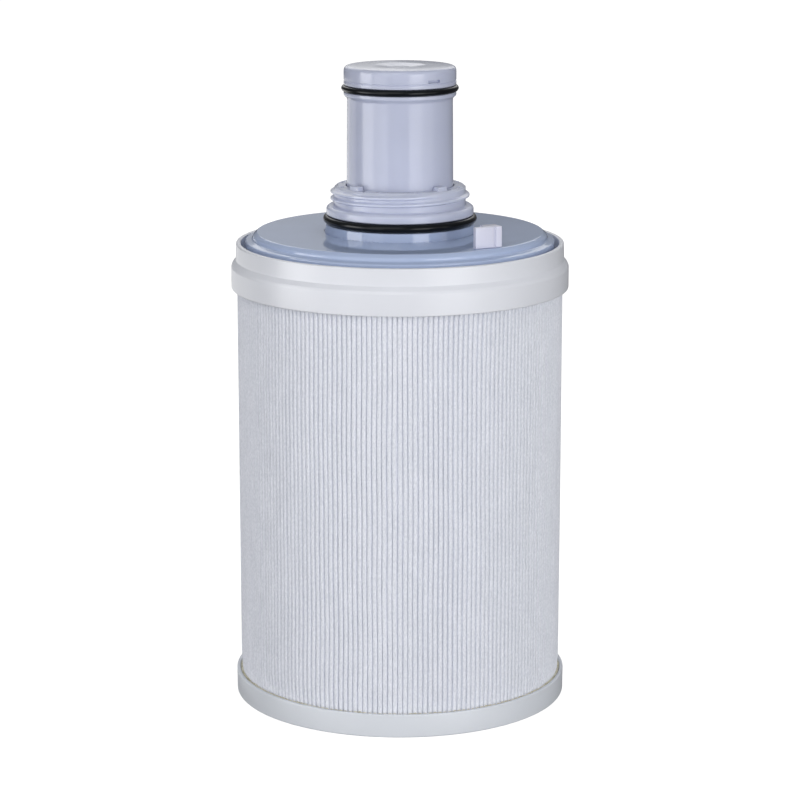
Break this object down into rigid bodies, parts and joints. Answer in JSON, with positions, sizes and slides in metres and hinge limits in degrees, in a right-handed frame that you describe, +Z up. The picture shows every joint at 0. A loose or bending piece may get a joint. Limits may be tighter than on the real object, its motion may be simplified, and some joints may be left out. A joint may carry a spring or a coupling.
{
  "type": "water filter cartridge",
  "caption": "Cylindrical water filter cartridge: pleated prefilter over a carbon block between white end caps, blue-grey top plate with key, threaded neck with O-ring seals, lift-out lamp stem.",
  "frame": {"origin": "on the cartridge axis at the underside of the lower end cap", "axes": "+Z up along the cartridge axis towards the stem; the front faces -Y, with the plate key to the right of the front"},
  "size_m": [0.1448, 0.1448, 0.2743],
  "materials": {
    "white_cap": "satin",
    "adhesive": "satin",
    "pleated_media": "matt nonwoven",
    "net_plastic": "matt",
    "wrap_fabric": "matt nonwoven",
    "pressed_carbon": "matt",
    "foam_gasket": "matt foam",
    "core_plastic": "matt",
    "blue_grey_plastic": "high gloss",
    "milky_plastic": "satin",
    "black_rubber": "satin",
    "quartz": "clear",
    "clear_silicone": "satin",
    "lamp_ceramic": "matt",
    "lead_metal": "tinned",
    "board": "satin",
    "capacitor_case": "gloss",
    "ferrite": "matt",
    "copper_winding": "enamelled wire"
  },
  "bodies": {
    "cartridge": {"lower_end_cap": "white_cap", "lower_adhesive": "adhesive", "pleated_prefilter": "pleated_media", "upper_adhesive": "adhesive", "upper_end_cap": "white_cap", "support_net": "net_plastic", "carbon_wrap": "wrap_fabric", "carbon_block": "pressed_carbon", "lower_gasket": "foam_gasket", "upper_gasket": "foam_gasket", "core_tube": "core_plastic", "core_plug": "core_plastic", "top_plate": "blue_grey_plastic", "plate_key": "milky_plastic", "threaded_neck": "milky_plastic", "lower_o_ring": "black_rubber"},
    "bayonet": {"lock_ring": "milky_plastic"},
    "lamp_module": {"stem_tube": "milky_plastic", "stem_cap": "milky_plastic", "upper_o_ring": "black_rubber", "quartz_sleeve": "quartz", "sleeve_seal": "black_rubber", "sleeve_gland": "core_plastic", "lamp_cushion": "clear_silicone", "lower_lamp_base": "lamp_ceramic", "uv_lamp_tube": "quartz", "upper_lamp_base": "lamp_ceramic", "lower_lamp_spacer": "clear_silicone", "upper_lamp_spacer": "clear_silicone", "lamp_lead_left": "lead_metal", "lamp_lead_right": "lead_metal", "circuit_board": "board", "resonant_capacitor": "capacitor_case", "ballast_choke": "ferrite", "coil_bobbin": "core_plastic", "secondary_coil": "copper_winding", "ferrite_core": "ferrite"}
  },
  "joints": [
    {"name": "bayonet_turn", "type": "hinge", "parent": "cartridge", "child": "bayonet", "pos_m": [0, 0, 0.22], "axis": [0, 0, 1], "range_deg": [0, 30]},
    {"name": "lamp_lift", "type": "slide", "parent": "cartridge", "child": "lamp_module", "axis": [0, 0, 1], "range_m": [0, 0.18]}
  ]
}
